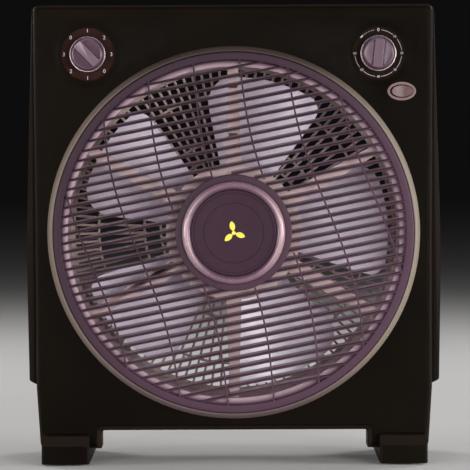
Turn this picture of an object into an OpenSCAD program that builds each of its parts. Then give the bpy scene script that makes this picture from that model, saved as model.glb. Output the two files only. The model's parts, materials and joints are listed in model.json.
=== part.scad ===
// Box fan with a slowly turning louvre disc in its front.
// Millimetres, +Z up. The front faces -Y and +X is to the right of a person in front of it.
// The origin is the middle of the footprint, on the floor.
// Angles called "clock" angles run clockwise from straight up, seen from the front.

/* [Body] */
// Height from the floor to the top edge
body_h = 446.5; // [442:0.5:452]
// Width of the front shell at its top edge
front_w_top = 388; // [386:1:392]
// Width of the front shell where its legs start to draw in
front_w_mid = 385; // [383:0.5:388]
// Width of the front shell at the bottom of its legs
front_w_low = 377.5; // [374:0.5:380]
// Greatest width across the bulging rear shell
rear_w = 408.5; // [406:0.5:412]
// Thickness of the moulded walls
wall = 2.5; // [2:0.1:3]
// Distance from the front face to the back panel's outer face
shell_d = 131; // [129:1:133]
// Height of the shells' underside, between the legs
belly_h = 32.7; // [32:0.1:36]
// Half of the gap between the two legs
leg_gap = 129.5; // [126:0.5:131]
// Height of the leg ends above the floor
leg_end = 15; // [14:0.5:17]

/* [Feet] */
// Length of each foot, front to back: the depth of the whole fan
foot_len = 160; // [160:1:166]
// Height of the raised nose at the front and back of a foot
foot_nose = 29.6; // [27:0.2:31]
// Outer side of a foot, from the middle of the fan
foot_out = 187; // [186:0.5:188]
// Inner side of a foot, from the middle of the fan
foot_in = 140.5; // [138:0.5:142]
// Radius of a rubber foot pad
pad_r = 9; // [7:0.5:11]

/* [Air path] */
// Height of the fan's axis above the floor
fan_z = 225; // [224:0.5:226]
// Inner radius of the air duct
duct_r = 164; // [163:0.5:164.5]
// Radius of the blade tips
blade_r = 152; // [146:0.5:156]
// Number of fan blades
blades = 5; // [4:1:6]
// Angle that one blade covers
blade_span = 47; // [40:1:50]
// Pitch of a blade from the plane of rotation
blade_pitch = 22; // [18:1:24]

/* [Louvre] */
// Outer radius of the turning louvre disc
louvre_r = 175.1; // [175:0.1:175.8]
// Width of the louvre's flat rim
louvre_band = 10.2; // [9:0.2:11]
// Distance between neighbouring slats
slat_pitch = 8.42; // [8:0.02:9]
// Tilt of the slats, back edge up
slat_tilt = 15; // [8:1:18]
// Turn of the louvre disc at rest: the slats rise to the right
louvre_turn = 11.3; // [0:0.1:20]
// Distance between neighbouring curved ribs
rib_pitch = 47.4; // [44:0.2:50]
// Sideways swing of the curved ribs
rib_swing = 8.4; // [4:0.2:12]

/* [Controls] */
// Distance of both dials from the middle of the fan
dial_x = 141; // [139:0.5:142]
// Height of both dials above the floor
dial_z = 398.5; // [397:0.5:400]
// Radius of a printed dial plate
dial_r = 26; // [25:0.1:26.5]
// Radius of a knob
knob_r = 16.3; // [15.5:0.1:16.6]
// Clock angle of the speed knob's grip at rest
speed_turn = -45; // [-45:45:45]
// Clock angle of the timer knob's grip at rest
timer_turn = 6; // [0:2:12]
// Distance of the rocker switch from the middle of the fan
rocker_x = 163.5; // [161:0.5:164]
// Height of the rocker switch above the floor
rocker_z = 361.5; // [360:0.5:364]
// Tilt of the rocker at rest, right side in
rocker_tilt = 5; // [3:0.5:6]

/* [Hidden] */

$fn = 96;

// Depth planes, front to back
y_face = -61;
y_part = -18;
y_back = y_face + shell_d;
y_plate = y_face + 4;
y_lou = -67.5;
y_lou_back = -53;
y_arm = -50;
y_hub_ring = -76;
y_cap = -73.2;
y_recess = -62;
y_grille = y_back - wall - 4;

// Louvre disc
louvre_in = louvre_r - louvre_band;
trim_in = louvre_r + 0.5;
opening_r = louvre_r + 3.9;
hub_r = 56.5;
bezel_r = 50.2;
cap_r = 41.7;
badge_r = 28.6;
slat_deep = 13.6;
slat_thick = 1.5;
slat_count = floor(2 * (louvre_in - 3) / slat_pitch);
rib_wave = 165;
rib_lean = 0.036;
rib_w = 1.7;
rib_reach = 3;
lou_shaft_r = 3.5;
lou_motor_r = 25;
lou_ear = 29.5;

// Front spider
spider_hub_r = 66;
arm_root_w = 15;
arm_tip_w = 9;

// Rear shell: the sides bulge and end in a chamfer above the legs
bulge_z = 205;
bulge_bend = 20;
slope_up = 0.03;
slope_down = 0.0186;
wing_z = 74;
rear_gap = leg_gap + 7;
gap_bevel = 3.4;
wing_chamfer = 4;
tower_r = 5.5;
handle_w = 96;
handle_z = 398;
handle_h = 25;
handle_d = 25;

// Rear grille: zones of radial bars between rings, each zone with its own number of bars
grille_hub_r = 52;
grille_rings = [73.5, 90, 136];
grille_in = 161;
grille_bars = [50, 60, 84, 108];
bar_w = 2.4;

// Fan and its motor
impeller_hub_r = 46;
y_cup = -24;
y_cup_back = 22;
y_blade = -9;
blade_t = 2.2;
blade_bow = 220;
shaft_r = 4;
run_fit = 0.05;
motor_r = 38.5;
y_motor = 14;
y_core = 30;
y_core_back = 48;
core_bore = 20.4;
motor_screw_at = 30;

// Controls
switch_bush_r = 5;
knob_shaft_r = 3;
y_knob = -78;
y_skirt = y_face - 0.3;
ring_r = knob_r + 1;

dial_t = 1.2;
y_dial = y_face + 0.4;
nut_t = 2;
bezel_rx = 12.7;
bezel_rz = 7.8;
button_rx = 10.3;
button_rz = 5.6;
y_pivot = -57;
pivot_r = 1.2;

// Fasteners
screw_r = 1.7;
screw_head = 3.4;
boss_r = 4.6;
shell_screws = [[-163, 421], [163, 421], [-78, 422], [78, 422],
                [-172, 56], [172, 56], [-72, 44], [72, 44]];
quarter_clock = [45, 135, 225, 315];

foot_x = 163;
foot_screw_y = 40;
pad_y = 64;
pad_proud = 1.5;
grille_screw_at = 174;
grille_r = 169;

// Mains entry, and the leads inside the shells
gland_x = -150;
gland_z = 56;
lead_clock = 240;
y_lead = 57;
lead_r = 2.2;
switch_route = [[-141, -29, 398], [-150, 0, 388], [-180, 14, 335], [-189, 16, 270],
                [-190, 16, 200], [-186, 18, 130], [-166, 40, 94], [-160, 51, 83]];
motor_route = [[-150, 50, 84], [-158, 55, 125], [-143, 57, 142.4], [-90, 58, 173],
               [-35.4, 58, 204.6]];
louvre_route = [[0, -43, 251.5], [0, -43, 394], [0, -35, 405], [60, -32, 412],
                [105, -34, 380], [140, -35, 361], [156.8, -35, 361.5]];

// Colours
black = [0.10, 0.09, 0.08];
mauve = [0.42, 0.32, 0.42];
taupe = [0.62, 0.56, 0.50];
pearl = [0.78, 0.62, 0.68];
lavender = [0.80, 0.76, 0.84];
rosy = [0.62, 0.50, 0.47];
steel = [0.75, 0.75, 0.76];
copper = [0.72, 0.42, 0.22];

// ---------------------------------------------------------------- helpers

// A point at radius r and clock angle a, in the front view
function clock(r, a) = [r * sin(a), r * cos(a)];

// Half width of the front shell at height z: nearly upright, with legs that draw in below the wings
function front_half(z) =
    (z > wing_z
        ? front_w_mid + (front_w_top - front_w_mid) * (z - wing_z) / (body_h - wing_z)
        : front_w_low + (front_w_mid - front_w_low) * (z - leg_end) / (wing_z - leg_end)) / 2;

// One corner of an outline, rounded to radius r between its neighbours
function corner(a, p, b, r, steps = 4) =
    let(u = (a - p) / norm(a - p), v = (b - p) / norm(b - p),
        half = acos(u * v) / 2, back = r / tan(half),
        c = p + (u + v) / norm(u + v) * r / sin(half),
        s = p + u * back - c, e = p + v * back - c,
        a0 = atan2(s[1], s[0]), turn = atan2(s[0] * e[1] - s[1] * e[0], s * e))
    [for (i = [0:steps]) c + r * [cos(a0 + turn * i / steps), sin(a0 + turn * i / steps)]];

// An outline with every corner rounded to radius r
function rounded(pts, r) =
    let(n = len(pts))
    [for (i = [0:n - 1]) each corner(pts[(i + n - 1) % n], pts[i], pts[(i + 1) % n], r)];

// Points of an ellipse
function ellipse(rx, ry, steps = 48) =
    [for (i = [0:steps - 1]) [rx * cos(360 * i / steps), ry * sin(360 * i / steps)]];

// Extrude a front-view shape from plane y0 back to plane y1
module front_extrude(y0, y1) {
    translate([0, y1, 0])
        rotate([90, 0, 0])
            linear_extrude(y1 - y0)
                children();
}

// Round bar from plane y0 back to plane y1, with its axis at x, z
module bar(r, y0, y1, x = 0, z = fan_z) {
    translate([x, y0, z])
        rotate([-90, 0, 0])
            cylinder(r = r, h = y1 - y0);
}

// Tube from plane y0 back to plane y1
module tube(r_out, r_in, y0, y1, x = 0, z = fan_z) {
    difference() {
        bar(r_out, y0, y1, x, z);
        bar(r_in, y0 - 1, y1 + 1, x, z);
    }
}

// Turned piece on an axis along Y: the profile's points are [radius, y]
module turned(profile, x = 0, z = fan_z) {
    translate([x, 0, z])
        rotate([-90, 0, 0])
            rotate_extrude()
                polygon(profile);
}

// Turn a shape clockwise about the fan's axis
module at_clock(a) {
    translate([0, 0, fan_z])
        rotate([0, a, 0])
            translate([0, 0, -fan_z])
                children();
}

// Cross-head screw along Y, with its head at the back
module rear_screw(x, z, y_tip, y_head) {
    bar(screw_r, y_tip, y_head, x, z);
    difference() {
        bar(screw_head, y_head, y_head + 2.2, x, z);
        translate([x - 2, y_head + 1.2, z - 0.4])
            cube([4, 2, 0.8]);
        translate([x - 0.4, y_head + 1.2, z - 2])
            cube([0.8, 2, 4]);
    }
}

// ---------------------------------------------------------------- front shell

// Front view of the front shell, inset by d
module front_outline(d) {
    low = front_half(leg_end) - d;
    mid = front_half(wing_z) - d;
    top = front_half(body_h) - d;
    polygon(rounded([[-low, leg_end + d], [low, leg_end + d], [mid, wing_z],
                     [top, body_h - d], [-top, body_h - d], [-mid, wing_z]], 6));
}

// The gap between the legs, grown by d; the rear shell's legs are narrower than the front's
module leg_gap_outline(d, half = leg_gap) {
    w = half + d;
    polygon(rounded([[-w, -20], [w, -20], [w, belly_h + d], [-w, belly_h + d]], 3));
}

module front_block() {
    edge = 4;
    difference() {
        hull() {
            front_extrude(y_face, y_face + 0.1)
                front_outline(edge);
            front_extrude(y_face + 1.2, y_face + 1.3)
                front_outline(1.2);
            front_extrude(y_face + edge, y_part)
                front_outline(0);
        }
        front_extrude(y_face - 1, y_part + 1)
            leg_gap_outline(0);
        hull() {
            front_extrude(y_face - 0.1, y_face)
                leg_gap_outline(gap_bevel + 1);
            front_extrude(y_face + gap_bevel, y_face + gap_bevel + 0.1)
                leg_gap_outline(0);
        }
    }
}

module front_hollow() {
    difference() {
        front_extrude(y_plate, y_part + 1)
            front_outline(wall);
        front_extrude(y_plate - 1, y_part + 2)
            leg_gap_outline(wall);
        front_extrude(y_part - wall, y_part + 2)
            leg_gap_outline(wall, rear_gap);
    }
}

// Shallow dish around a dial, and the hole for its threaded bush
module dial_dish(x) {
    turned([[0, y_face - 1], [34, y_face - 1], [33, y_face], [dial_r + 1.1, y_face + 1.6],
            [0, y_face + 1.6]], x, dial_z);
    bar(switch_bush_r + 0.1, y_face - 1, y_plate + 4, x, dial_z);
}

module front_housing() {
    color(black)
    difference() {
        union() {
            difference() {
                front_block();
                front_hollow();
            }
            bar(opening_r + wall, y_plate - 1, -46);
            for (p = shell_screws)
                bar(boss_r, y_plate - 1, y_part, p[0], p[1]);
            for (s = [-1, 1])
                bar(12, y_plate - 1, y_plate + 2, s * dial_x, dial_z);
        }
        bar(opening_r, y_face - 1, -40);
        for (p = shell_screws)
            bar(screw_r, y_part - 26, y_part + 1, p[0], p[1]);
        for (s = [-1, 1])
            dial_dish(s * dial_x);
        translate([rocker_x, 0, rocker_z])
            front_extrude(y_face - 1, y_plate + 1)
                polygon(ellipse(bezel_rx + 0.1, bezel_rz + 0.1));
        foot_screw_hole(-1, -foot_screw_y);
        foot_screw_hole(1, -foot_screw_y);
    }
}

// Hole for a foot screw in the floor of a leg, on side s
module foot_screw_hole(s, y) {
    translate([s * foot_x, y, leg_end - 1])
        cylinder(r = screw_r, h = wall + 2);
}

// Bevelled ring around the louvre, proud of the front face
module trim_ring() {
    color(taupe)
        turned([[trim_in, y_arm + 1], [opening_r - 0.1, y_arm + 1], [opening_r - 0.1, y_face],
                [opening_r + 2, y_face], [opening_r + 2, y_face - 1.2],
                [trim_in + 1.6, y_lou + 0.4], [trim_in, y_lou + 0.4]]);
}

// ---------------------------------------------------------------- rear shell

// Half width of the bulging side at height z: two straight slopes with a soft bend between them
function bulge_half(z) =
    rear_w / 2 - (z > bulge_z ? slope_up : slope_down)
    * (sqrt(pow(z - bulge_z, 2) + pow(bulge_bend, 2)) - bulge_bend);

// Right edge of the bulging side, from the wing's lower end to the top
function wing_edge(d, steps = 14) =
    let(z0 = wing_z + wing_chamfer)
    [for (i = [0:steps]) let(z = z0 + (body_h - z0) * i / steps) [bulge_half(z) - d, z]];

// Front view of the rear shell: bulging sides over plain legs, inset by d
module rear_outline(d) {
    edge = wing_edge(d);
    low = front_half(wing_z) - d;
    polygon(concat([[-low, wing_z + d], [low, wing_z + d]], edge,
                   [for (i = [len(edge) - 1:-1:0]) [-edge[i][0], edge[i][1]]]));
}

// Solid form of the rear shell, inset by d
module rear_block(d) {
    half = rear_w / 2 - d;
    back = y_back - d;
    intersection() {
        union() {
            front_extrude(y_part, back)
                rear_outline(d);
            front_extrude(y_part, back)
                difference() {
                    intersection() {
                        front_outline(d);
                        translate([-half, 0])
                            square([2 * half, 2 * wing_z]);
                    }
                    leg_gap_outline(d, rear_gap);
                }
        }
        // Plan view: bevelled at the parting line, drawn in towards the back
        linear_extrude(body_h)
            polygon([[-half + 7, y_part], [half - 7, y_part], [half, y_part + 7],
                     [half, y_part + 36], [half - 16, back - 4], [half - 20, back],
                     [-half + 20, back], [-half + 16, back - 4], [-half, y_part + 36],
                     [-half, y_part + 7]]);
        // Side view: the top slopes down to the back
        translate([-half, 0, 0])
            rotate([90, 0, 90])
                linear_extrude(2 * half)
                    polygon([[y_part, 0], [back, 0], [back, body_h - 18 - d],
                             [back - 6, body_h - 11 - d], [y_part, body_h - 2 - d]]);
    }
}

// Pocket for the fingers, at the top of the back panel, grown by d
module handle_pocket(d) {
    translate([0, 0, handle_z - d])
        front_extrude(y_back - handle_d - d, y_back + 1)
            polygon(rounded([[-handle_w / 2 - d, 0], [handle_w / 2 + d, 0],
                             [handle_w / 2 + d, handle_h + 2 * d],
                             [-handle_w / 2 - d, handle_h + 2 * d]], 5));
}

module rear_housing() {
    color(black)
    difference() {
        union() {
            difference() {
                rear_block(0);
                rear_block_hollow();
            }
            intersection() {
                rear_block(0);
                union() {
                    handle_pocket(wall);
                    for (p = shell_screws)
                        bar(tower_r, y_part, y_back, p[0], p[1]);
                }
            }
        }
        handle_pocket(0);
        bar(duct_r + 1.5, y_back - 10, y_back + 1);
        for (p = shell_screws) {
            bar(screw_r + 0.15, y_part - 1, y_part + 5, p[0], p[1]);
            bar(screw_head + 0.3, y_part + 4, y_back + 1, p[0], p[1]);
        }
        for (a = quarter_clock)
            bar(screw_r + 0.2, y_back - 5, y_back + 1, clock(grille_screw_at, a)[0],
                fan_z + clock(grille_screw_at, a)[1]);
        bar(6.5, y_back - 10, y_back + 1, gland_x, gland_z);
        foot_screw_hole(-1, foot_screw_y);
        foot_screw_hole(1, foot_screw_y);
    }
}

// Inside of the rear shell, open to the front through the front shell's own outline
module rear_block_hollow() {
    intersection() {
        rear_block(wall);
        translate([-rear_w, y_part + wall, 0])
            cube([2 * rear_w, shell_d, body_h]);
    }
    front_extrude(y_part - 1, y_part + wall + 0.1)
        difference() {
            front_outline(2 * wall);
            leg_gap_outline(wall, rear_gap);
        }
}

// Tube around the impeller, from the front spider to the rear grille
module air_duct() {
    color(rosy)
    difference() {
        tube(duct_r + wall, duct_r, -39.5, y_grille);
        at_clock(lead_clock)
            translate([0, y_lead, fan_z + duct_r - 5])
                cylinder(r = 4, h = 15);
    }
}

// ---------------------------------------------------------------- front spider

// One arm, straight up: a flat web with a flange along each side, up to the carrier ring
module spider_arm() {
    root = spider_hub_r - 4;
    tip = duct_r + 1;
    front_extrude(y_arm, y_arm + 2)
        translate([0, fan_z])
            polygon([[-arm_root_w / 2, root], [arm_root_w / 2, root],
                     [arm_tip_w / 2, tip], [-arm_tip_w / 2, tip]]);
    for (s = [-1, 1])
        front_extrude(y_arm, y_arm + 6)
            translate([0, fan_z])
                polygon([[s * arm_root_w / 2, root], [s * (arm_root_w / 2 - 1.6), root],
                         [s * (arm_tip_w / 2 - 1.6), tip], [s * arm_tip_w / 2, tip]]);
}

module front_spider() {
    color(rosy)
    difference() {
        union() {
            tube(spider_hub_r, spider_hub_r - 2, y_arm, y_arm + 8);
            bar(spider_hub_r, y_arm, y_arm + 2.5);
            intersection() {
                bar(duct_r, y_arm - 1, y_arm + 9);
                for (a = [0:60:300])
                    at_clock(a)
                        spider_arm();
            }
        }
        bar(6.2, y_arm - 1, y_arm + 4);
        for (s = [-1, 1])
            bar(screw_r, y_arm - 1, y_arm + 4, s * lou_ear);
        translate([-2.5, y_arm + 3.6, fan_z + spider_hub_r - 5])
            cube([5, 7, 20]);
    }
}

// Ring that holds the spider's arms in front of the duct, with a notch for the louvre motor's lead
module carrier_ring() {
    color(rosy)
    difference() {
        union() {
            tube(duct_r + wall, duct_r, y_arm + 1, -40);
            tube(opening_r - 0.2, duct_r, y_arm + 1.2, y_arm + 3.5);
        }
        translate([-2.5, y_arm + 3.6, fan_z + duct_r - 2])
            cube([5, 7, 20]);
    }
}

// Small geared motor that turns the louvre disc
module louvre_motor() {
    y0 = y_arm + 2.5;
    color(steel)
    difference() {
        union() {
            bar(lou_motor_r, y0, y0 + 13);
            bar(6, y_arm - 0.5, y0 + 1);
            for (s = [-1, 1]) {
                bar(5, y0, y0 + 1.5, s * lou_ear);
                translate([s * lou_ear / 2 - lou_ear / 2, y0, fan_z - 5])
                    cube([lou_ear, 1.5, 10]);
            }
        }
        bar(lou_shaft_r + run_fit, y_arm - 1, y_arm + 12);
        for (s = [-1, 1])
            bar(screw_r, y_arm, y0 + 4, s * lou_ear);
    }
}

module louvre_motor_screws() {
    color(steel)
        for (s = [-1, 1])
            rear_screw(s * lou_ear, fan_z, y_arm, y_arm + 4);
}

// Clips that hold the louvre motor's lead on the upper arm
module wire_clips() {
    color(taupe)
        for (r = [94, 143])
            translate([-4, y_arm - 1.6, fan_z + r - 2.5])
                cube([8, 1.6, 5]);
}

// ---------------------------------------------------------------- louvre disc

// Sideways place of rib k at height v above the middle
function rib_u(k, v) =
    k * rib_pitch * (1 - 0.05 * pow(v / louvre_in, 2)) - rib_lean * v
    - rib_swing * sin(180 * v / rib_wave);

module louvre_rib(k) {
    steps = 20;
    right = [for (i = [0:steps]) let(v = (louvre_in + 4) * (2 * i / steps - 1))
             [rib_u(k, v) + rib_w / 2, v]];
    left = [for (i = [steps:-1:0]) [right[i][0] - rib_w, right[i][1]]];
    front_extrude(y_lou + 1, y_lou + 1 + rib_reach)
        translate([0, fan_z])
            polygon(concat(right, left));
}

module louvre_slat(i) {
    v = (i - (slat_count - 1) / 2) * slat_pitch;
    half = sqrt(pow(louvre_in + 2, 2) - pow(abs(v) - 2, 2)) + 1;
    translate([-half, y_lou + 1, fan_z + v])
        rotate([slat_tilt, 0, 0])
            cube([2 * half, slat_deep, slat_thick]);
}

// Rim of the disc: a front band with a skirt at each edge
module louvre_rim() {
    turned([[louvre_in, y_lou_back], [louvre_in, y_lou + 0.8], [louvre_in + 1.5, y_lou],
            [louvre_r - 1, y_lou], [louvre_r, y_lou + 1], [louvre_r, y_lou_back],
            [louvre_r - 2, y_lou_back], [louvre_r - 2, y_lou + 2.2],
            [louvre_in + 1.8, y_lou + 2.2], [louvre_in + 1.8, y_lou_back]]);
}

// Hub of the disc: a flat ring around a recess, with a boss on the shaft
module louvre_hub() {
    turned([[lou_shaft_r, -56], [lou_shaft_r, -66], [8, -66], [8, y_recess],
            [bezel_r, y_recess], [bezel_r, y_lou - 2], [hub_r, y_lou - 2], [hub_r, y_lou_back],
            [hub_r - 2, y_lou_back], [hub_r - 2, y_lou], [bezel_r + 2, y_lou],
            [bezel_r + 2, -60], [8, -60], [8, -56]]);
}

module louvre() {
    color(mauve)
    at_clock(-louvre_turn) {
        louvre_rim();
        louvre_hub();
        intersection() {
            tube(louvre_in + 1, hub_r - 1, y_lou, y_lou_back + 5);
            union() {
                for (i = [0:slat_count - 1])
                    louvre_slat(i);
                for (k = [-3:3])
                    louvre_rib(k);
            }
        }
    }
}

// Half-round pearl ring between the hub's flat ring and its sunken cap
module hub_bezel() {
    inner = cap_r + 0.1;
    outer = bezel_r - 0.1;
    crest = (inner + outer) / 2;
    color(pearl)
        turned(concat([[inner, y_recess], [outer, y_recess]],
                      [for (a = [0:10:90]) [crest + (outer - crest) * cos(a),
                                            y_lou - 2 + (y_hub_ring - y_lou + 2) * sin(a)]],
                      [for (a = [100:10:180]) [crest + (outer - crest) * cos(a),
                                               y_cap + 0.8 + (y_hub_ring - y_cap - 0.8) * sin(a)]]));
}

module hub_cap() {
    color(mauve)
        turned([[0, y_cap + 0.2], [badge_r, y_cap + 0.2], [badge_r, y_cap + 0.8],
                [badge_r + 0.8, y_cap + 0.8], [badge_r + 0.8, y_cap + 0.2],
                [cap_r - 1, y_cap], [cap_r, y_cap + 0.8], [cap_r, y_recess],
                [cap_r - 2, y_recess], [cap_r - 2, y_cap + 2.4], [0, y_cap + 2.4]]);
}

// Generic mark: three leaves around a dot
module hub_emblem() {
    y0 = y_cap - 0.3;
    y1 = y_cap + 0.3;
    color([0.85, 0.75, 0.25])
    at_clock(-louvre_turn) {
        bar(1.8, y0, y1);
        for (a = [0:120:240])
            at_clock(a)
                intersection() {
                    bar(6, y0, y1, -3.4, fan_z + 6.6);
                    bar(6, y0, y1, 3.4, fan_z + 6.6);
                }
    }
}

module louvre_shaft() {
    color(steel)
        bar(lou_shaft_r, -70.3, y_arm + 10);
}

module louvre_nut() {
    color(steel)
    difference() {
        translate([0, -69.5, fan_z])
            rotate([-90, 0, 0])
                cylinder(r = 6, h = 3.5, $fn = 6);
        bar(lou_shaft_r, -72, -60);
    }
}

// ---------------------------------------------------------------- impeller

// Radial outline of a blade, in the front view, middle line straight up.
// The leading corner is rounder than the trailing one.
function blade_outline() =
    let(half = blade_span / 2, root = impeller_hub_r - 1.5, lead = 30, trail = 16)
    concat([clock(root, -half)],
           [for (i = [0:6]) let(a = 90 * i / 6)
            clock(blade_r - lead * (1 - sin(a)), -half + (lead / blade_r) * 57.3 * (1 - cos(a)))],
           [for (i = [1:5]) clock(blade_r, -half + 11.3 + (blade_span - 17.4) * i / 6)],
           [for (i = [0:5]) let(a = 90 * i / 5)
            clock(blade_r - trail * (1 - cos(a)), half - (trail / blade_r) * 57.3 * (1 - sin(a)))],
           [clock(root, half)]);

// One blade: a cambered, pitched sheet cut to the outline
module blade() {
    intersection() {
        front_extrude(y_blade - 60, y_blade + 60)
            translate([0, fan_z])
                polygon(blade_outline());
        translate([0, y_blade, fan_z])
            rotate([0, 0, -blade_pitch])
                translate([0, blade_bow - 3, 0])
                    difference() {
                        cylinder(r = blade_bow, h = 170, $fn = 180);
                        translate([0, 0, -1])
                            cylinder(r = blade_bow - blade_t, h = 172, $fn = 180);
                    }
    }
}

module impeller() {
    color(lavender)
    difference() {
        union() {
            turned([[shaft_r, y_cup], [impeller_hub_r - 3, y_cup], [impeller_hub_r, y_cup + 3],
                    [impeller_hub_r, y_cup_back], [impeller_hub_r - 2.5, y_cup_back],
                    [impeller_hub_r - 2.5, y_cup + 2.5], [9, y_cup + 2.5], [9, -3], [shaft_r, -3]]);
            for (i = [0:blades - 1])
                at_clock(12.5 + 360 / blades * i)
                    blade();
            for (i = [0:blades - 1])
                at_clock(360 / blades * i)
                    translate([-1, y_cup + 1, fan_z + 8])
                        cube([2, 12, impeller_hub_r - 10]);
        }
        translate([-8.5, -6.2, fan_z - 1.2])
            cube([17, 4, 2.4]);
    }
}

// Domed nut that holds the impeller on the shaft
module blade_nut() {
    color(black)
        turned([[shaft_r, y_cup], [13, y_cup], [13, y_cup - 2], [10, y_cup - 5],
                [shaft_r, y_cup - 6]]);
}

module motor_shaft() {
    color(steel)
    difference() {
        bar(shaft_r, y_cup - 6.5, 62);
        translate([-6, -5, fan_z])
            rotate([0, 90, 0])
                cylinder(r = 1.2, h = 12);
    }
}

module drive_pin() {
    color(steel)
        translate([-8, -5, fan_z])
            rotate([0, 90, 0])
                cylinder(r = 1.2, h = 16);
}

// ---------------------------------------------------------------- motor

module rotor_core() {
    color(steel)
        tube(core_bore - 0.4, shaft_r, y_core, y_core_back);
}

module stator_core() {
    color([0.45, 0.45, 0.47])
        tube(motor_r, core_bore, y_core, y_core_back);
}

// End windings in front of and behind the core
module stator_windings() {
    color(copper)
        for (y = [y_core - 7, y_core_back])
            turned([[23, y], [34, y], [35.5, y + 1.5], [35.5, y + 5.5], [34, y + 7],
                    [23, y + 7], [22, y + 5.5], [22, y + 1.5]]);
}

module motor_front_bell() {
    color([0.70, 0.70, 0.72])
        turned([[8, y_motor], [30, y_motor], [motor_r + 1, y_motor + 6], [motor_r + 1, y_core + 3],
                [motor_r, y_core + 3], [motor_r, y_core], [motor_r - 1.4, y_core],
                [motor_r - 1.4, y_motor + 7], [29.5, y_motor + 2], [11, y_motor + 2],
                [11, y_motor + 9], [8, y_motor + 9]]);
}

module motor_rear_bell() {
    color([0.70, 0.70, 0.72])
    difference() {
        union() {
            turned([[8, y_grille], [motor_r + 1, y_grille], [motor_r + 1, y_core_back - 3],
                    [motor_r, y_core_back - 3], [motor_r, y_core_back],
                    [motor_r - 1.4, y_core_back], [motor_r - 1.4, y_grille - 2],
                    [11, y_grille - 2], [11, y_grille - 9], [8, y_grille - 9]]);
            for (a = quarter_clock)
                bar(boss_r, y_grille - 6, y_grille - 1, clock(motor_screw_at, a)[0],
                    fan_z + clock(motor_screw_at, a)[1]);
        }
        for (a = quarter_clock)
            bar(screw_r, y_grille - 8, y_grille + 1, clock(motor_screw_at, a)[0],
                fan_z + clock(motor_screw_at, a)[1]);
    }
}

// Plain bearings at the two ends of the motor
module motor_bushes() {
    color([0.72, 0.58, 0.36]) {
        tube(8, shaft_r + run_fit, y_motor, y_motor + 9);
        tube(8, shaft_r + run_fit, y_grille - 9, y_grille);
    }
}

module motor_screws() {
    color(steel)
        for (a = quarter_clock)
            rear_screw(clock(motor_screw_at, a)[0], fan_z + clock(motor_screw_at, a)[1],
                       y_grille - 6, y_grille + 3);
}

// ---------------------------------------------------------------- rear grille

module rear_grille() {
    radii = concat([grille_hub_r], grille_rings, [grille_in]);
    color(taupe)
    difference() {
        union() {
            bar(grille_hub_r + 1, y_grille, y_grille + 3);
            for (r = grille_rings)
                tube(r + bar_w / 2, r - bar_w / 2, y_grille, y_grille + 4);
            tube(grille_r, grille_in - 1, y_grille, y_grille + 4);
            for (a = quarter_clock) {
                bar(boss_r, y_grille - 6, y_grille + 3.5, clock(grille_screw_at, a)[0],
                    fan_z + clock(grille_screw_at, a)[1]);
                at_clock(a)
                    translate([1 - boss_r, y_grille + 0.5, fan_z + grille_r - 1])
                        cube([2 * boss_r - 2, 2.5, grille_screw_at - grille_r + 1]);
            }
            for (zone = [0:len(grille_bars) - 1])
                for (i = [0:grille_bars[zone] - 1])
                    at_clock(360 * (i + 0.5) / grille_bars[zone])
                        translate([-bar_w / 2, y_grille + 0.6, fan_z + radii[zone]])
                            cube([bar_w, 2.8, radii[zone + 1] - radii[zone]]);
        }
        bar(5, y_grille - 1, y_grille + 5);
        for (a = quarter_clock)
            bar(screw_r, y_grille - 1, y_grille + 5, clock(motor_screw_at, a)[0],
                fan_z + clock(motor_screw_at, a)[1]);
        for (a = quarter_clock)
            bar(screw_r, y_grille - 7, y_grille + 5, clock(grille_screw_at, a)[0],
                fan_z + clock(grille_screw_at, a)[1]);
    }
}

// ---------------------------------------------------------------- feet

// Front view of the right foot, with its lower and upper edges bevelled
module foot_front() {
    polygon([[foot_in + 0.8, pad_proud], [foot_out - 0.8, pad_proud], [foot_out, pad_proud + 0.8],
             [foot_out, foot_nose - 3], [foot_out - 2.5, foot_nose],
             [foot_in + 2.5, foot_nose], [foot_in, foot_nose - 3], [foot_in, pad_proud + 0.8]]);
}

// Side view of a foot: a bar under the leg with a raised nose at each end
module foot_side() {
    y0 = foot_len / 2;
    polygon([[-y0, pad_proud], [y0, pad_proud], [y0, foot_nose - 10.6], [y0 - 5, foot_nose - 1.6],
             [y0 - 7, foot_nose], [y_back, foot_nose], [y_back, leg_end], [y_face, leg_end],
             [y_face, foot_nose], [-y0 + 11, foot_nose], [-y0 + 8, foot_nose - 1.6],
             [-y0, foot_nose - 10.6]]);
}

module foot_shape() {
    difference() {
        intersection() {
            front_extrude(-foot_len, foot_len)
                foot_front();
            rotate([90, 0, 90])
                linear_extrude(foot_out + 10)
                    foot_side();
            linear_extrude(foot_nose + 1)
                polygon(rounded([[foot_in, -foot_len / 2], [foot_out, -foot_len / 2],
                                 [foot_out, foot_len / 2], [foot_in, foot_len / 2]], 3));
        }
        for (s = [-1, 1]) {
            translate([foot_x, s * pad_y, -1])
                cylinder(r = pad_r, h = 4);
            translate([foot_x, s * foot_screw_y, -1]) {
                cylinder(r = screw_r + 0.2, h = leg_end + 2);
                cylinder(r = screw_head + 0.6, h = 7);
            }
        }
        translate([foot_x - 18, -28, -1])
            cube([36, 56, 12]);
    }
}

module right_foot() {
    color(black)
        foot_shape();
}

module left_foot() {
    color(black)
        mirror([1, 0, 0])
            foot_shape();
}

module foot_pads() {
    color([0.08, 0.08, 0.08])
        for (x = [-foot_x, foot_x])
            for (y = [-pad_y, pad_y])
                translate([x, y, 0])
                    cylinder(r = pad_r, h = 3);
}

module foot_screws() {
    color(steel)
        for (x = [-foot_x, foot_x])
            for (y = [-foot_screw_y, foot_screw_y])
                translate([x, y, 4]) {
                    cylinder(r = screw_head, h = 2);
                    cylinder(r = screw_r, h = leg_end + 3);
                }
}

// ---------------------------------------------------------------- controls

// Printed plate under a knob
module dial_plate(x) {
    tube(dial_r, switch_bush_r + 0.1, y_dial, y_dial + dial_t, x, dial_z);
}

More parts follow.
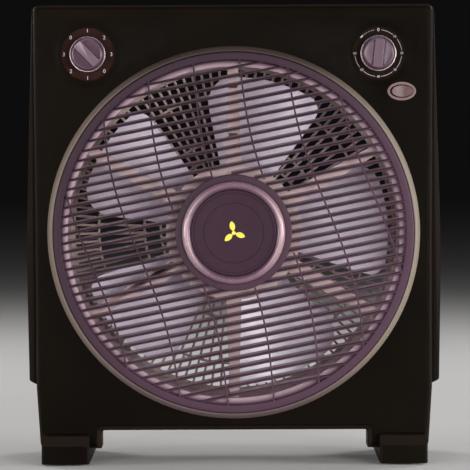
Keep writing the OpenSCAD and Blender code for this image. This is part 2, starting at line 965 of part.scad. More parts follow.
module speed_dial() {
    color([0.22, 0.15, 0.15])
        dial_plate(-dial_x);
}

module timer_dial() {
    color([0.22, 0.15, 0.15])
        dial_plate(dial_x);
}

// Knob with a grip bar left standing between two scoops; the bar points to clock angle turn
module knob(x, turn) {
    scoop_r = 13.2;
    scoop_deep = 3.4;
    scoop_slope = 20;
    bar_half = 5.6;
    translate([x, 0, dial_z])
        rotate([0, turn, 0])
            difference() {
                turned([[0, y_knob], [knob_r - 2.4, y_knob], [knob_r - 0.8, y_knob + 1.8],
                        [knob_r, y_knob + 5], [knob_r, y_skirt], [9.5, y_skirt],
                        [9.5, y_skirt - 4], [knob_shaft_r, y_skirt - 4],
                        [knob_shaft_r, y_knob + 4], [0, y_knob + 4]], 0, 0);
                for (side = [0, 1])
                    mirror([side, 0, 0])
                        intersection() {
                            bar(scoop_r, y_knob - 1, y_knob + scoop_deep + 1, 0, 0);
                            translate([bar_half, y_knob + scoop_deep, -knob_r])
                                rotate([0, 0, -scoop_slope])
                                    translate([0, -10, 0])
                                        cube([20, 10, 2 * knob_r]);
                        }
            }
}

// Bright ring around the foot of a knob
module knob_ring(x) {
    turned([[knob_r, y_skirt], [ring_r, y_skirt], [ring_r, y_skirt - 1], [ring_r - 0.5, y_skirt - 1.8],
            [knob_r, y_skirt - 1.8]], x, dial_z);
}

module knob_shaft(x) {
    bar(knob_shaft_r, y_knob + 4, y_plate + 8, x, dial_z);
}

// Threaded bush of a switch, with a running bore for the knob's shaft
module switch_bush(x) {
    tube(switch_bush_r, knob_shaft_r + run_fit, y_dial - nut_t - 0.4, y_plate + 9, x, dial_z);
}

module speed_knob() {
    color(mauve)
        knob(-dial_x, speed_turn);
}

module speed_knob_ring() {
    color(steel)
        knob_ring(-dial_x);
}

module speed_shaft() {
    color(steel)
        knob_shaft(-dial_x);
}

// Rotary speed switch: a square body with contact tabs at its back
module speed_switch() {
    y0 = y_plate + 2;
    color([0.16, 0.16, 0.17]) {
        switch_bush(-dial_x);
        difference() {
            translate([-dial_x - 15, y0, dial_z - 15])
                cube([30, 24, 30]);
            bar(switch_bush_r - 0.5, y0 - 1, y0 + 10, -dial_x, dial_z);
        }
        for (i = [0:3])
            translate([-dial_x - 11 + 6 * i, y0 + 23, dial_z + 6])
                cube([3.5, 6, 0.8]);
    }
}

module timer_knob() {
    color(mauve)
        knob(dial_x, timer_turn);
}

module timer_knob_ring() {
    color(steel)
        knob_ring(dial_x);
}

module timer_shaft() {
    color(steel)
        knob_shaft(dial_x);
}

// Clockwork timer: a round can with a flat lid at its front
module timer_unit() {
    y0 = y_plate + 2;
    color(steel) {
        switch_bush(dial_x);
        difference() {
            union() {
                bar(22, y0, y0 + 28, dial_x, dial_z);
                bar(23.5, y0, y0 + 2, dial_x, dial_z);
            }
            bar(switch_bush_r - 0.5, y0 - 1, y0 + 10, dial_x, dial_z);
        }
    }
}

// Hexagon nuts that hold both switches to the front face
module dial_nuts() {
    color(steel)
        for (x = [-dial_x, dial_x])
            difference() {
                translate([x, y_dial - nut_t, dial_z])
                    rotate([-90, 0, 0])
                        cylinder(r = 7.5, h = nut_t, $fn = 6);
                bar(switch_bush_r, y_dial - nut_t - 1, y_dial + 1, x, dial_z);
            }
}

module rocker_bezel() {
    color([0.68, 0.60, 0.58])
    difference() {
        translate([rocker_x, 0, rocker_z]) {
            front_extrude(y_face - 2, y_face)
                polygon(ellipse(bezel_rx + 1.2, bezel_rz + 1.3));
            front_extrude(y_face - 0.5, y_plate + 7)
                polygon(ellipse(bezel_rx, bezel_rz));
        }
        translate([rocker_x, 0, rocker_z]) {
            front_extrude(y_face - 3, y_plate + 8)
                polygon(ellipse(button_rx + 0.9, button_rz + 0.8));
            translate([0, y_pivot, -15])
                cylinder(r = pivot_r + run_fit, h = 30);
        }
    }
}

// Rocker with a hollow face, on a pivot pin through the bezel
module rocker_button() {
    color([0.66, 0.56, 0.56])
    translate([rocker_x, y_pivot, rocker_z])
        rotate([0, 0, rocker_tilt]) {
            difference() {
                front_extrude(-7.6, 2)
                    polygon(ellipse(button_rx, button_rz));
                translate([0, -7.6 - 38.6, -10])
                    cylinder(r = 40, h = 20, $fn = 180);
            }
            translate([0, 0, -bezel_rz + 0.2])
                cylinder(r = pivot_r, h = 2 * bezel_rz - 0.4);
        }
}

module rocker_switch() {
    y0 = y_plate + 7;
    color([0.16, 0.16, 0.17]) {
        translate([rocker_x - 10, y0, rocker_z - 5])
            cube([20, 13, 10]);
        for (x = [-6, 5])
            translate([rocker_x + x, y0 + 12, rocker_z - 2])
                cube([0.8, 6, 4]);
    }
}

// ---------------------------------------------------------------- electrics

module run_capacitor() {
    color([0.85, 0.85, 0.82])
        translate([132, y_back - wall - 22, 66])
            cube([36, 22, 15]);
}

module terminal_block() {
    color([0.80, 0.78, 0.72])
    difference() {
        translate([-172, y_back - wall - 14, 76])
            cube([30, 14, 12]);
        for (i = [0:2])
            translate([-167 + 10 * i, y_back - wall - 9, 80])
                cylinder(r = 2.5, h = 10);
    }
}

// Flanged bush in the back panel, for the mains cord
module cord_gland() {
    color([0.08, 0.08, 0.08])
        turned([[3.6, y_back - wall - 5], [6.5, y_back - wall - 5], [6.5, y_back], [9, y_back],
                [9, y_back + 1.5], [8, y_back + 2.5], [3.6, y_back + 2.5]], gland_x, gland_z);
}

// Round lead through a list of points
module lead(points, r) {
    for (i = [0:len(points) - 2]) {
        a = points[i];
        d = points[i + 1] - a;
        translate(a)
            rotate([0, acos(d[2] / norm(d)), atan2(d[1], d[0])])
                translate([0, 0, -r / 2])
                    cylinder(r = r, h = norm(d) + r, $fn = 10);
    }
}

module switch_lead() {
    color([0.12, 0.12, 0.14])
        lead(switch_route, lead_r);
}

module motor_lead() {
    color([0.12, 0.12, 0.14])
        lead(motor_route, lead_r);
}

module louvre_lead() {
    color([0.55, 0.50, 0.46])
        lead(louvre_route, 1.3);
}

// ---------------------------------------------------------------- fasteners

// Screws that join the two shells, at the bottom of the rear shell's towers
module housing_screws() {
    color(steel)
        for (p = shell_screws)
            rear_screw(p[0], p[1], y_part - 20, y_part + 4);
}

module grille_screws() {
    color(steel)
        for (a = quarter_clock)
            rear_screw(clock(grille_screw_at, a)[0], fan_z + clock(grille_screw_at, a)[1],
                       y_grille - 5, y_back);
}

front_housing();
rear_housing();
trim_ring();
air_duct();
carrier_ring();
front_spider();
rear_grille();
left_foot();
right_foot();
foot_pads();
louvre();
hub_bezel();
hub_cap();
hub_emblem();
louvre_shaft();
louvre_nut();
louvre_motor();
louvre_motor_screws();
wire_clips();
impeller();
blade_nut();
motor_shaft();
drive_pin();
rotor_core();
stator_core();
stator_windings();
motor_front_bell();
motor_rear_bell();
motor_bushes();
motor_screws();
run_capacitor();
speed_dial();
speed_knob();
speed_knob_ring();
speed_shaft();
speed_switch();
timer_dial();
timer_knob();
timer_knob_ring();
timer_shaft();
timer_unit();
dial_nuts();
rocker_bezel();
rocker_button();
rocker_switch();
terminal_block();
cord_gland();
switch_lead();
motor_lead();
louvre_lead();
housing_screws();
grille_screws();
foot_screws();
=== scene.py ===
"""Looks of the box fan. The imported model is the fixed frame: each shown piece either is a CAD node with
a better finish, or is built here in the same place and stands for its node.

Metres. The front faces -Y, +X is to the right of a person in front of it and +Z is up. A clock angle
runs clockwise from straight up, seen from the front."""

import json
import math

import bmesh
import bpy
from mathutils import Matrix, Vector

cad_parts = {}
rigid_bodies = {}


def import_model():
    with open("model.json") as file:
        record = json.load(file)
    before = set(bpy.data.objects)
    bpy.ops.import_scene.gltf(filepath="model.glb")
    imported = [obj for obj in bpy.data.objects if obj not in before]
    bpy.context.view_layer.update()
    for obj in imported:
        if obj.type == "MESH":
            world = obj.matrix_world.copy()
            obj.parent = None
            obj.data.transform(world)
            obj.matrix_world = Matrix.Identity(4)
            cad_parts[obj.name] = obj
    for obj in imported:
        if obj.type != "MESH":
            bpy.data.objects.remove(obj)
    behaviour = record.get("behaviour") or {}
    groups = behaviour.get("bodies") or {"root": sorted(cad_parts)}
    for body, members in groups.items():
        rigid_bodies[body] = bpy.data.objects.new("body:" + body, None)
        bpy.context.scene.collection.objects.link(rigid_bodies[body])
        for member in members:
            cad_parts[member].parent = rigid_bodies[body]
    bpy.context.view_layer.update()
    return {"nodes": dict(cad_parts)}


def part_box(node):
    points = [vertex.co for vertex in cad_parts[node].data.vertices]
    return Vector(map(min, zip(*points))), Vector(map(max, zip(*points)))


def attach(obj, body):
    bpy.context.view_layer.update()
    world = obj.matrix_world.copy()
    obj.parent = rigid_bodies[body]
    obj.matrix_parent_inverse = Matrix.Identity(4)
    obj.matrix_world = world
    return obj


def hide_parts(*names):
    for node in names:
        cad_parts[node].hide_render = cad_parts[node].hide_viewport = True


MM = 0.001

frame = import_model()
scene = bpy.context.scene
scene.view_settings.view_transform = "Standard"

# ---------------------------------------------------------------- places, from the frame

louvre_low, louvre_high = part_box("louvre")
AXIS_Z = (louvre_low.z + louvre_high.z) / 2
LOUVRE_R = (louvre_high.x - louvre_low.x) / 2
LOUVRE_BACK = louvre_high.y

trim_low, trim_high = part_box("trim_ring")
shell_low, shell_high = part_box("front_housing")
FACE = shell_low.y
BODY_TOP = shell_high.z
PARTING = shell_high.y
grille_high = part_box("rear_grille")[1]
bezel_low, bezel_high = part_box("hub_bezel")
cap_low, cap_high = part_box("hub_cap")
speed_low, speed_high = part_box("speed_dial")


def middle(node):
    """Centre of a CAD node's box."""
    low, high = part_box(node)
    return (low + high) / 2


# ---------------------------------------------------------------- camera

# The photographer stood straight in front, a little above the fan's middle, with a long lens
CAMERA_FAR = 3.2
CAMERA_RISE = 1.8
VIEW_W = 0.4565
AIM = Vector((0.00125, FACE, 0.2226))
ROLL = -0.25
SENSOR_W = 36
SIGHT = 20


def make_camera():
    data = bpy.data.cameras.new("camera")
    data.sensor_width = SENSOR_W
    data.lens = SENSOR_W * CAMERA_FAR / VIEW_W
    data.clip_end = SIGHT
    camera = bpy.data.objects.new("camera", data)
    scene.collection.objects.link(camera)
    rise = math.radians(CAMERA_RISE)
    camera.location = AIM + CAMERA_FAR * Vector((0, -math.cos(rise), math.sin(rise)))
    tilt = Matrix.Rotation(math.pi / 2 - rise, 4, "X")
    roll = Matrix.Rotation(math.radians(ROLL), 4, "Z")
    camera.matrix_world = Matrix.Translation(camera.location) @ tilt @ roll
    scene.camera = camera


make_camera()

# ---------------------------------------------------------------- materials


class Finish:
    """A material and its shader, with short ways to add to its nodes."""

    def __init__(self, name, color, rough, metallic=0.0, specular=0.5, coat=0.0, coat_rough=0.1):
        self.material = bpy.data.materials.new(name)
        self.material.use_nodes = True
        self.tree = self.material.node_tree
        self.shader = self.tree.nodes["Principled BSDF"]
        self.shader.inputs["Base Color"].default_value = (*color, 1)
        self.shader.inputs["Roughness"].default_value = rough
        self.shader.inputs["Metallic"].default_value = metallic
        self.shader.inputs["Specular IOR Level"].default_value = specular
        self.shader.inputs["Coat Weight"].default_value = coat
        self.shader.inputs["Coat Roughness"].default_value = coat_rough
        self.material.diffuse_color = (*color, 1)
        self.place = self.node("ShaderNodeTexCoord").outputs["Object"]
        self.bumps = None

    def node(self, kind, **inputs):
        made = self.tree.nodes.new(kind)
        for name, value in inputs.items():
            self.feed(made.inputs[name.replace("_", " ")], value)
        return made

    def feed(self, socket, value):
        if isinstance(value, bpy.types.NodeSocket):
            self.tree.links.new(value, socket)
        else:
            socket.default_value = value

    def noise(self, scale, detail=3.0, rough=0.5):
        made = self.node("ShaderNodeTexNoise", Vector=self.place, Scale=scale, Detail=detail)
        made.inputs["Roughness"].default_value = rough
        return made.outputs["Fac"]

    def mottle(self, scale, detail=4.0, low=0.3, high=0.7):
        """Soft patches from 0 to 1."""
        return self.spread(self.noise(scale, detail), low, high)

    def cells(self, scale):
        return self.node("ShaderNodeTexVoronoi", Vector=self.place, Scale=scale).outputs["Distance"]

    def part(self, axis):
        """One coordinate of the place on the object."""
        return self.node("ShaderNodeSeparateXYZ", Vector=self.place).outputs[axis]

    def math(self, operation, a, b=0.0):
        made = self.node("ShaderNodeMath")
        made.operation = operation
        self.feed(made.inputs[0], a)
        self.feed(made.inputs[1], b)
        return made.outputs[0]

    def waves(self, value, pitch):
        """Even ripples along a coordinate, pitch in radians per metre."""
        return self.math("SINE", self.math("MULTIPLY", value, pitch))

    def spread(self, value, low, high, to_low=0.0, to_high=1.0):
        """value's range from low to high, mapped to to_low to to_high."""
        made = self.node("ShaderNodeMapRange", Value=value)
        made.interpolation_type = "SMOOTHSTEP"
        limits = {"From Min": low, "From Max": high, "To Min": to_low, "To Max": to_high}
        for name, number in limits.items():
            made.inputs[name].default_value = number
        return made.outputs["Result"]

    def blend(self, share, a, b):
        """Color a where share is 0 and b where it is 1."""
        made = self.node("ShaderNodeMix")
        made.data_type = "RGBA"
        self.feed(made.inputs["Factor"], share)
        for socket, color in zip((made.inputs[6], made.inputs[7]), (a, b)):
            self.feed(socket, color if isinstance(color, bpy.types.NodeSocket) else (*color, 1))
        return made.outputs[2]

    def bump(self, height, depth, strength=1.0):
        """Add a bump of a depth in metres to the ones already there."""
        made = self.node("ShaderNodeBump", Height=height, Distance=depth, Strength=strength)
        if self.bumps is not None:
            self.feed(made.inputs["Normal"], self.bumps)
        self.bumps = made.outputs["Normal"]
        self.feed(self.shader.inputs["Normal"], self.bumps)

    def radius(self):
        """Distance from the fan's axis."""
        up = self.math("SUBTRACT", self.part("Z"), AXIS_Z)
        squares = self.math("ADD", self.math("POWER", self.part("X"), 2.0), self.math("POWER", up, 2.0))
        return self.math("SQRT", squares)

    def sideways(self):
        """Side of the fan's axis: -1 at its left, 0 above and below it and 1 at its right."""
        return self.math("DIVIDE", self.part("X"), self.radius())

    def color(self, value):
        self.feed(self.shader.inputs["Base Color"], value)

    def gloss(self, noise, smooth, dull, high=0.7):
        """Let the roughness follow a noise from smooth to dull."""
        self.feed(self.shader.inputs["Roughness"], self.spread(noise, 0.3, high, smooth, dull))


def shade(color, factor):
    return tuple(min(1.0, c * factor) for c in color)


def moulded(name, color, rough, grain=0.00003, grain_size=0.0006, vary=0.12, **more):
    """Moulded plastic: a fine grain, a slow change of tone and uneven gloss."""
    f = Finish(name, color, rough, **more)
    f.color(f.blend(f.mottle(9.0), shade(color, 1 - vary), shade(color, 1 + vary)))
    f.gloss(f.noise(60.0, 5.0, 0.6), rough * 0.9, min(1.0, rough * 1.12))
    f.bump(f.noise(1 / grain_size, 2.0), grain, 0.5)
    return f


def shell_finish():
    """Near-black grained plastic, with a painted highlight where it turns away from the three main
    directions, along its rounded edges.
    """
    painted_edge_highlight = (0.0105, 0.0068, 0.0052)
    f = moulded("shell_black", (0.0029, 0.0018, 0.0009), 0.42, grain=0.00004, grain_size=0.0007, vary=0.25,
                specular=0.02)
    f.bump(f.cells(900.0), 0.00003, 0.4)
    facing = f.node("ShaderNodeSeparateXYZ", Vector=f.node("ShaderNodeTexCoord").outputs["Normal"])
    x, y, z = (f.math("ABSOLUTE", facing.outputs[axis]) for axis in "XYZ")
    squareness = f.math("MAXIMUM", f.math("MAXIMUM", x, y), z)
    # painted highlight: a lighter tone on the rounded edges, where the normal leaves the three main
    # directions
    edge_highlight_mask = f.spread(squareness, 0.82, 0.975, 1.0, 0.0)
    tone = f.shader.inputs["Base Color"].links[0].from_socket
    f.color(f.blend(edge_highlight_mask, tone, painted_edge_highlight))
    return f


def trim_finish():
    """Satin taupe with painted light and shade: lighter at the two sides of the ring than at its top and
    bottom, lighter at its right than at its left, and darkest at its top.
    """
    # painted light at the sides, lightest at the right, and painted shade at the top and bottom, darkest at
    # the top
    left, right = (0.112, 0.084, 0.068), (0.155, 0.127, 0.101)
    bottom, top = (0.078, 0.053, 0.055), (0.030, 0.019, 0.017)
    f = moulded("trim_taupe", right, 0.4, grain=0.00001, vary=0.06, specular=0.15)
    across = f.sideways()
    height = f.spread(f.part("Z"), AXIS_Z - 0.1, AXIS_Z + 0.1)
    painted_side_light = f.spread(f.math("POWER", across, 2.0), 0.0, 0.8)
    sides = f.blend(f.spread(across, -0.6, 0.6), left, right)
    f.color(f.blend(painted_side_light, f.blend(height, bottom, top), sides))
    return f


def two_tone_and_painted_light(name, front, deep, at, over, rough, **more):
    """Dark on the front planes, with painted light and shade on them from darkest at the upper left to
    lightest at the lower right, and lighter on what lies behind them.
    """
    f = Finish(name, front, rough, **more)
    behind = f.spread(f.part("Y"), at, at + over)
    # painted light and shade: the front tone runs from darker at the upper left to lighter at the lower
    # right
    painted_light_slant = f.spread(f.math("SUBTRACT", f.part("X"), f.part("Z")), -AXIS_Z - 0.2, -AXIS_Z + 0.2)
    front_tone = f.blend(painted_light_slant, shade(front, 0.62), shade(front, 1.3))
    deep_tone = f.blend(f.mottle(6.0, 3.0, 0.35, 0.65), shade(deep, 0.9), shade(deep, 1.08))
    f.color(f.blend(behind, front_tone, deep_tone))
    f.gloss(f.noise(70.0, 4.0), rough * 0.88, rough * 1.15)
    f.bump(f.noise(1500.0, 2.0), 0.00002, 0.4)
    return f


def pearl_painted_light_finish():
    """Pearl lacquer with painted light and shade: a painted highlight at the ring's outer edge, brightest at
    its sides, and painted shade towards the cap.
    """
    inner, flake = (0.036, 0.016, 0.029), (0.6, 0.42, 0.48)
    top, side = (0.165, 0.092, 0.128), (0.29, 0.195, 0.215)
    f = Finish("pearl_lacquer", (0.2, 0.12, 0.15), 0.3, metallic=0.25, specular=0.15,
               coat=0.06, coat_rough=0.12)
    # painted highlight at the outer edge and sides, fading to painted shade towards the cap
    painted_side_light = f.spread(f.math("POWER", f.sideways(), 2.0), 0.1, 0.9)
    painted_highlight_outwards = f.spread(f.radius(), 0.0415, 0.0485)
    tone = f.blend(painted_highlight_outwards, inner, f.blend(painted_side_light, top, side))
    flakes = f.math("MULTIPLY", f.mottle(2600.0, 2.0, 0.42, 0.62), 0.1)
    f.color(f.blend(flakes, tone, flake))
    f.gloss(f.noise(90.0, 3.0), 0.2, 0.3)
    f.bump(f.noise(1800.0, 2.0), 0.00001, 0.4)
    return f


def cap_finish():
    """Satin cap with a faint ring of fine turning marks."""
    f = moulded("cap_mauve", (0.025, 0.0098, 0.0187), 0.36, grain=0.00001, vary=0.1, specular=0.1)
    f.bump(f.waves(f.radius(), 9000.0), 0.000004, 0.5)
    return f


def blade_finish():
    """Glossy, slightly milky moulding with a faint mottle."""
    f = Finish("blade_lavender", (0.68, 0.62, 0.72), 0.26, coat=0.3, coat_rough=0.15)
    f.color(f.blend(f.mottle(14.0), (0.64, 0.585, 0.69), (0.71, 0.65, 0.745)))
    f.shader.inputs["Subsurface Weight"].default_value = 0.12
    f.shader.inputs["Subsurface Radius"].default_value = (0.004, 0.003, 0.004)
    f.gloss(f.noise(45.0, 5.0), 0.22, 0.33)
    f.bump(f.noise(900.0, 2.0), 0.00002, 0.35)
    return f


def metal(name, color, rough):
    """Plated or cast metal with fine marks."""
    f = Finish(name, color, rough, metallic=1.0)
    marks = f.noise(700.0, 6.0, 0.7)
    f.gloss(marks, rough * 0.7, rough * 1.3, 0.75)
    f.color(f.blend(f.mottle(40.0), shade(color, 0.85), shade(color, 1.1)))
    f.bump(marks, 0.00001, 0.5)
    return f


def winding_finish():
    """Enamelled copper wire, wound in fine turns round the ring."""
    f = metal("winding_copper", (0.62, 0.26, 0.12), 0.3)
    f.bump(f.waves(f.radius(), 9000.0), 0.0002, 0.8)
    return f


def lamination_finish():
    """Stack of thin steel sheets, seen as lines across the core."""
    f = metal("core_laminations", (0.22, 0.22, 0.23), 0.42)
    f.bump(f.waves(f.part("Y"), 12000.0), 0.00012, 0.8)
    return f


def dial_finish(name, tone):
    """Printed plate with a faint mottle and a fine grain."""
    f = Finish(name, tone, 0.5, specular=0.02)
    f.color(f.blend(f.mottle(120.0), shade(tone, 0.85), shade(tone, 1.2)))
    f.bump(f.noise(2200.0, 2.0), 0.00001, 0.4)
    return f


SHELL = shell_finish()
TRIM = trim_finish()
CARRIER = moulded("carrier_beige", (0.34, 0.235, 0.235), 0.42, vary=0.08)
GUARD = moulded("guard_taupe", (0.46, 0.38, 0.32), 0.42, vary=0.08)
LOUVRE = two_tone_and_painted_light("louvre_mauve", (0.038, 0.018, 0.029), (0.31, 0.215, 0.25), -0.0655, 0.004, 0.4,
                  specular=0.1)
PEARL_PAINTED_LIGHT = pearl_painted_light_finish()
CAP = cap_finish()
EMBLEM = moulded("emblem_yellow", (0.62, 0.47, 0.03), 0.35, grain=0.000004, vary=0.04)
BLADE = blade_finish()
DARK = moulded("dark_plastic", (0.02, 0.02, 0.021), 0.5)
STEEL = metal("zinc_steel", (0.55, 0.55, 0.56), 0.3)
CASE = metal("plated_case", (0.48, 0.48, 0.49), 0.38)
LAMINATION = lamination_finish()
COPPER = winding_finish()
ALLOY = metal("cast_alloy", (0.5, 0.5, 0.51), 0.5)
BRONZE = metal("bronze", (0.46, 0.32, 0.14), 0.4)
WHITE = moulded("case_white", (0.6, 0.6, 0.57), 0.5)
DIAL = dial_finish("dial_brown", (0.0150, 0.0060, 0.0052))
TIMER_DIAL = dial_finish("dial_dark", (0.0075, 0.0042, 0.0032))
KNOB = moulded("knob_mauve", (0.066, 0.033, 0.051), 0.3, grain=0.000008, vary=0.08, metallic=0.3, coat=0.2)
KNOB_METAL = metal("knob_metal", (0.28, 0.23, 0.235), 0.3)
BEZEL = moulded("bezel_rose", (0.128, 0.082, 0.076), 0.3, grain=0.000008, vary=0.05, specular=0.2)
ROCKER = moulded("rocker_rose", (0.080, 0.043, 0.041), 0.28, grain=0.000008, vary=0.05, specular=0.15)
NYLON = moulded("terminal_nylon", (0.55, 0.5, 0.4), 0.5)
RUBBER = moulded("pad_rubber", (0.012, 0.012, 0.012), 0.75, grain=0.00006, grain_size=0.0009)
SLEEVE = moulded("lead_sleeve", (0.012, 0.012, 0.014), 0.45)
THIN_LEAD = moulded("thin_lead", (0.24, 0.19, 0.16), 0.45)
MARK = moulded("mark_pale", (0.36, 0.32, 0.32), 0.5, grain=0.000004, vary=0.03)

# ---------------------------------------------------------------- mesh helpers

# Points closer than WELD are one, faces within FLAT degrees are flat, and RIM_NEAR is near the parting plane
WELD = 0.01 * MM
FLAT = 0.6
RIM_NEAR = 3 * MM

# Degrees between two faces from which their edge is rounded, on a part's outer edges and elsewhere
OUTER_BEND = 15
INNER_BEND = 28


def body_of(node):
    return frame["nodes"][node].parent.name.split(":", 1)[1]


def finish_mesh(bm, name, finish, smooth=35):
    """An object from a bmesh, shaded smooth where its faces meet at less than smooth degrees."""
    bmesh.ops.recalc_face_normals(bm, faces=bm.faces)
    mesh = bpy.data.meshes.new(name)
    bm.to_mesh(mesh)
    bm.free()
    made = bpy.data.objects.new(name, mesh)
    scene.collection.objects.link(made)
    mesh.materials.append(finish.material)
    mesh.shade_smooth()
    mesh.set_sharp_from_angle(angle=math.radians(smooth))
    return made


def settle(piece, body, slot, *nodes):
    """Give a finished piece its body and hide the nodes that it stands for. The slot is not used."""
    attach(piece, body)
    if nodes:
        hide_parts(*nodes)
    return piece


def soften(bm, wide, fine, is_outer):
    """Mark a mesh's edges for rounding: fully on its outer edges, and by fine over wide elsewhere."""
    weight = bm.edges.layers.float.new("bevel_weight_edge")
    for edge in bm.edges:
        if not edge.is_manifold:
            continue
        angle = math.degrees(edge.calc_face_angle())
        outer = all(is_outer(v.co) for v in edge.verts)
        if angle > (OUTER_BEND if outer else INNER_BEND):
            edge[weight] = 1.0 if outer else fine / wide


def bevel(piece, width, segments=3, angle=INNER_BEND):
    """Round the edges of a piece that meet at more than angle degrees."""
    round_off = piece.modifiers.new("rounded_edges", "BEVEL")
    round_off.width = width
    round_off.segments = segments
    round_off.limit_method = "ANGLE"
    round_off.angle_limit = math.radians(angle)
    round_off.use_clamp_overlap = True
    round_off.harden_normals = True
    return piece


def merge_flats(bm):
    """Join the triangles of each flat area, with a seam at x = 0 so that no face closes round a hole.

    The rims where the two shells meet keep their triangles."""
    everything = bm.verts[:] + bm.edges[:] + bm.faces[:]
    cut = bmesh.ops.bisect_plane(bm, geom=everything, dist=WELD, plane_co=(0, 0, 0), plane_no=(1, 0, 0))
    seam = {item for item in cut["geom_cut"] if isinstance(item, bmesh.types.BMEdge)}
    edges = [edge for edge in bm.edges
             if edge not in seam and any(abs(v.co.y - PARTING) > RIM_NEAR for v in edge.verts)]
    bmesh.ops.dissolve_limit(bm, angle_limit=math.radians(FLAT), verts=[], edges=edges)


def rounded_part(node, finish, slot, width, segments=3, fine=None, is_outer=None):
    """A CAD node's own form with its sharp edges rounded to width, or to fine where they aren't outer."""
    bm = bmesh.new()
    bm.from_mesh(frame["nodes"][node].data)
    bmesh.ops.remove_doubles(bm, verts=bm.verts, dist=WELD)
    merge_flats(bm)
    if is_outer:
        soften(bm, width, fine, is_outer)
    piece = finish_mesh(bm, node + "_form", finish)
    bevel(piece, width, segments)
    if is_outer:
        piece.modifiers["rounded_edges"].limit_method = "WEIGHT"
        piece.modifiers["rounded_edges"].use_clamp_overlap = False
    return settle(piece, body_of(node), slot, node)


def turned_faces(bm, profile, x=0.0, z=None, steps=240):
    """Spin a closed profile of (radius, y) points about an axis along Y."""
    z = AXIS_Z if z is None else z
    rings = []
    for i in range(steps):
        a = math.tau * i / steps
        rings.append([bm.verts.new((x + r * math.sin(a), y, z + r * math.cos(a))) for r, y in profile])
    count = len(profile)
    for i in range(steps):
        here, there = rings[i], rings[(i + 1) % steps]
        for k in range(count):
            n = (k + 1) % count
            bm.faces.new((here[k], here[n], there[n], there[k]))


def arc(cx, cy, r, start, end, steps=6):
    """Points of (radius, y) along an arc about (cx, cy), angles in degrees."""
    turn = [math.radians(start + (end - start) * i / steps) for i in range(steps + 1)]
    return [(cx + r * math.cos(t), cy + r * math.sin(t)) for t in turn]


def beam(bm, start, end, across, depth_way, width, depth, rounding):
    """A straight bar from start to end with a rounded section.

    across and depth_way are the section's unit directions."""
    half_w, half_d = width / 2 - rounding, depth / 2 - rounding
    corners = ((half_w, half_d, 0), (-half_w, half_d, 90), (-half_w, -half_d, 180), (half_w, -half_d, 270))
    section = []
    for cx, cy, first in corners:
        for i in range(4):
            t = math.radians(first + 30 * i)
            section.append((cx + rounding * math.cos(t), cy + rounding * math.sin(t)))
    ends = [[bm.verts.new(p + across * u + depth_way * v) for u, v in section] for p in (start, end)]
    count = len(section)
    for k in range(count):
        n = (k + 1) % count
        bm.faces.new((ends[0][k], ends[0][n], ends[1][n], ends[1][k]))
    bm.faces.new(ends[0][::-1])
    bm.faces.new(ends[1])


def clock_point(r, angle, y=0.0, x=0.0, z=None):
    a = math.radians(angle)
    return Vector((x + r * math.sin(a), y, (AXIS_Z if z is None else z) + r * math.cos(a)))


def joined(name, finish, body, slot, *nodes):
    """Start a mesh, and return it with a function that ends it as a settled piece."""
    bm = bmesh.new()
    return bm, lambda smooth=35: settle(finish_mesh(bm, name, finish, smooth), body, slot, *nodes)


# ---------------------------------------------------------------- shells and feet

BORDER = 6 * MM
GAP_TOP = 45 * MM
LEG_TOP = 60 * MM
REAR_CORE = 180 * MM
REAR_SLOPE = 20 * MM
SEAM = 1 * MM


def on_front_edge(p):
    """On the rounded border of the front shell, or on the bevel along its legs and belly."""
    near_border = abs(p.x) > shell_high.x * 0.955 or p.z > BODY_TOP - BORDER
    along_gap = p.z < GAP_TOP and p.y < FACE + BORDER
    return (near_border or along_gap) and p.y < PARTING - SEAM


def on_rear_edge(p):
    """On the outer bends of the rear shell's sides and top."""
    wide = abs(p.x) > REAR_CORE and p.z > LEG_TOP
    return (wide or p.z > BODY_TOP - REAR_SLOPE) and p.y > PARTING + SEAM


rounded_part("front_housing", SHELL, "shell_plastic", 1.4 * MM, 4, 0.4 * MM, on_front_edge)
rounded_part("rear_housing", SHELL, "shell_plastic", 1.6 * MM, 4, 0.5 * MM, on_rear_edge)
rounded_part("left_foot", SHELL, "shell_plastic", 1.2 * MM)
rounded_part("right_foot", SHELL, "shell_plastic", 1.2 * MM)


LOUVRE_GAP = 0.5 * MM


def make_trim_ring():
    """Conical ring around the louvre, with its edges rounded."""
    inner = LOUVRE_R + LOUVRE_GAP
    outer = (trim_high.x - trim_low.x) / 2
    front = trim_low.y
    edge = 0.5 * MM
    foot = FACE - 1.2 * MM
    profile = [(inner, trim_high.y)]
    profile += arc(inner + edge, front + edge, edge, 180, 270, 3)
    profile += [(inner + 1.3 * MM, front), (inner + 1.8 * MM, front + 0.2 * MM)]
    profile += [(outer - 0.3 * MM, foot - 0.3 * MM), (outer, foot + 0.2 * MM)]
    profile += [(outer, FACE), (inner + 2.5 * MM, FACE), (inner + 2.5 * MM, trim_high.y)]
    bm, done = joined("trim_ring_form", TRIM, body_of("trim_ring"), "trim_plastic", "trim_ring")
    turned_faces(bm, profile)
    done()


make_trim_ring()

# ---------------------------------------------------------------- louvre disc

LOUVRE_FRONT = louvre_low.y + 1 * MM
RIM_BAND = 7.6 * MM
RIM_IN = LOUVRE_R - RIM_BAND
RIM_SLOPE = 6.4 * MM
HUB_R = 56.5 * MM
HUB_WALL = 2 * MM
LOUVRE_TURN = 11.3
SLAT_PITCH = 8.42 * MM
SLAT_DEEP = 13.6 * MM
SLAT_THICK = 1.5 * MM
SLAT_TILT = 11
RIB_PITCH = 47.4 * MM
RIB_SWING = 8.4 * MM
RIB_LEAN = 0.036
RIB_WAVE = 165 * MM
RIB_W = 1.7 * MM
RIB_REACH = 3 * MM
RIB_END = RIM_IN + 1 * MM
ROOT_R = HUB_R - 1 * MM

TURN = Matrix.Translation((0, 0, AXIS_Z)) @ Matrix.Rotation(math.radians(-LOUVRE_TURN), 4, "Y")


